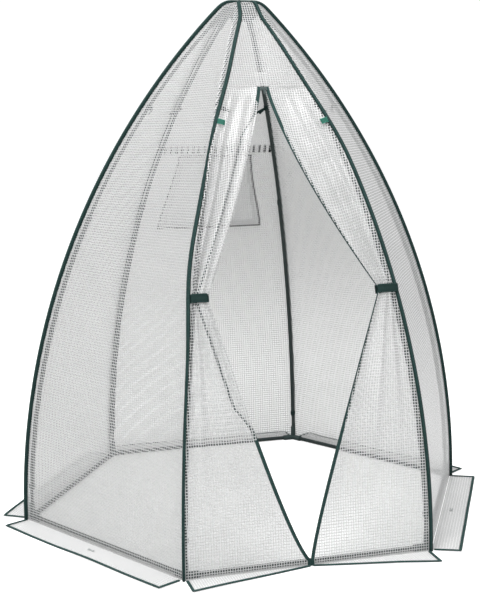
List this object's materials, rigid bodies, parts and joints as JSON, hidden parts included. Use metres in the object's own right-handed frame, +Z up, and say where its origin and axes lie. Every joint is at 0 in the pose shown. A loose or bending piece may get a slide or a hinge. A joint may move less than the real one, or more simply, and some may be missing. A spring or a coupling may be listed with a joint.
{
  "type": "pop-up greenhouse",
  "caption": "Small bowed hexagonal garden greenhouse: rib poles and base rods under a clear grid-film cover with a tied-back split door, ground skirts and a flap window.",
  "frame": {"origin": "on the ground at the middle of the hexagonal base", "axes": "+Z up, the door faces -Y, +X to the right when facing the back"},
  "size_m": [1.4996, 1.3448, 1.5055],
  "materials": {
    "film": "clear plastic film with a fine white reinforcing grid",
    "mesh": "white insect mesh",
    "webbing": "dark green woven binding tape",
    "tab": "brighter green webbing",
    "rod": "dark green coated rod",
    "tube": "dark green coated steel tube",
    "connector": "dark green moulded plastic",
    "zip": "dark painted zip slider",
    "loop": "grey eyelet"
  },
  "bodies": {
    "greenhouse": {"hub_body": "connector", "hub_cap": "connector", "pole_upper_a": "rod", "pole_upper_b": "rod", "pole_upper_c": "rod", "pole_upper_d": "rod", "pole_upper_e": "rod", "pole_upper_f": "rod", "pole_lower_a": "tube", "pole_lower_b": "tube", "pole_lower_c": "tube", "pole_lower_d": "tube", "pole_lower_e": "tube", "pole_lower_f": "tube", "ferrules": "tube", "corner_joints": "connector", "base_rod_ab": "tube", "base_rod_bc": "tube", "base_rod_cd": "tube", "base_rod_de": "tube", "base_rod_ef": "tube", "base_rod_fa": "tube", "pole_ties": "webbing", "wall_ab": "film", "wall_cd": "film", "wall_de": "film", "wall_ef": "film", "wall_fa": "film", "front_header": "film", "door_flap_left": "film", "door_flap_right": "film", "zip_tape_left": "webbing", "zip_tape_right": "webbing", "zip_slider": "zip", "seam_ad": "webbing", "seam_b": "webbing", "seam_c": "webbing", "seam_e": "webbing", "seam_f": "webbing", "strap_keepers": "webbing", "upper_tabs": "tab", "window_mesh": "mesh", "window_band": "webbing"},
    "skirt_ab_flap": {"skirt_ab": "film", "skirt_loop_ab": "loop"},
    "skirt_cd_flap": {"skirt_cd": "film", "skirt_loop_cd": "loop"},
    "skirt_de_flap": {"skirt_de": "film", "skirt_loop_de": "loop"},
    "skirt_ef_flap": {"skirt_ef": "film", "skirt_loop_ef": "loop"},
    "skirt_fa_flap": {"skirt_fa": "film", "skirt_loop_fa": "loop"},
    "skirt_front_left_flap": {"skirt_front_left": "film"},
    "skirt_front_right_flap": {"skirt_front_right": "film"},
    "window_cover": {"window_flap": "film"},
    "strap_left_end": {"strap_left": "webbing"},
    "strap_right_end": {"strap_right": "webbing"},
    "zip_tab": {"zip_pull": "zip"}
  },
  "joints": [
    {"name": "skirt_ab_fold", "type": "hinge", "parent": "greenhouse", "child": "skirt_ab_flap", "pos_m": [-0.51439, -0.29698, 0], "axis": [-0.5, 0.866, 0], "range_deg": [0, 80]},
    {"name": "skirt_cd_fold", "type": "hinge", "parent": "greenhouse", "child": "skirt_cd_flap", "pos_m": [0.51439, -0.29698, 0], "axis": [-0.5, -0.866, 0], "range_deg": [0, 80]},
    {"name": "skirt_de_fold", "type": "hinge", "parent": "greenhouse", "child": "skirt_de_flap", "pos_m": [0.51439, 0.29698, 0], "axis": [0.5, -0.866, 0], "range_deg": [0, 80]},
    {"name": "skirt_ef_fold", "type": "hinge", "parent": "greenhouse", "child": "skirt_ef_flap", "pos_m": [0, 0.59396, 0], "axis": [1, 0, 0], "range_deg": [0, 80]},
    {"name": "skirt_fa_fold", "type": "hinge", "parent": "greenhouse", "child": "skirt_fa_flap", "pos_m": [-0.51439, 0.29698, 0], "axis": [0.5, 0.866, 0], "range_deg": [0, 80]},
    {"name": "skirt_front_left_fold", "type": "hinge", "parent": "greenhouse", "child": "skirt_front_left_flap", "pos_m": [0, -0.59396, 0], "axis": [-1, 0, 0], "range_deg": [0, 80]},
    {"name": "skirt_front_right_fold", "type": "hinge", "parent": "greenhouse", "child": "skirt_front_right_flap", "pos_m": [0, -0.59396, 0], "axis": [-1, 0, 0], "range_deg": [0, 80]},
    {"name": "window_flap_lift", "type": "hinge", "parent": "greenhouse", "child": "window_cover", "pos_m": [0, 0.35106, 1.0489], "axis": [1, 0, 0], "range_deg": [0, 150]},
    {"name": "strap_left_open", "type": "hinge", "parent": "greenhouse", "child": "strap_left_end", "pos_m": [-0.28653, -0.49611, 0.71117], "axis": [0, -0.2962, -0.9551], "range_deg": [0, 120]},
    {"name": "strap_right_open", "type": "hinge", "parent": "greenhouse", "child": "strap_right_end", "pos_m": [0.28653, -0.49611, 0.71117], "axis": [0, 0.2962, 0.9551], "range_deg": [0, 120]},
    {"name": "zip_pull_swing", "type": "hinge", "parent": "greenhouse", "child": "zip_tab", "pos_m": [-0.0105, -0.24516, 1.24427], "axis": [-1, 0, 0], "range_deg": [0, 140]}
  ]
}
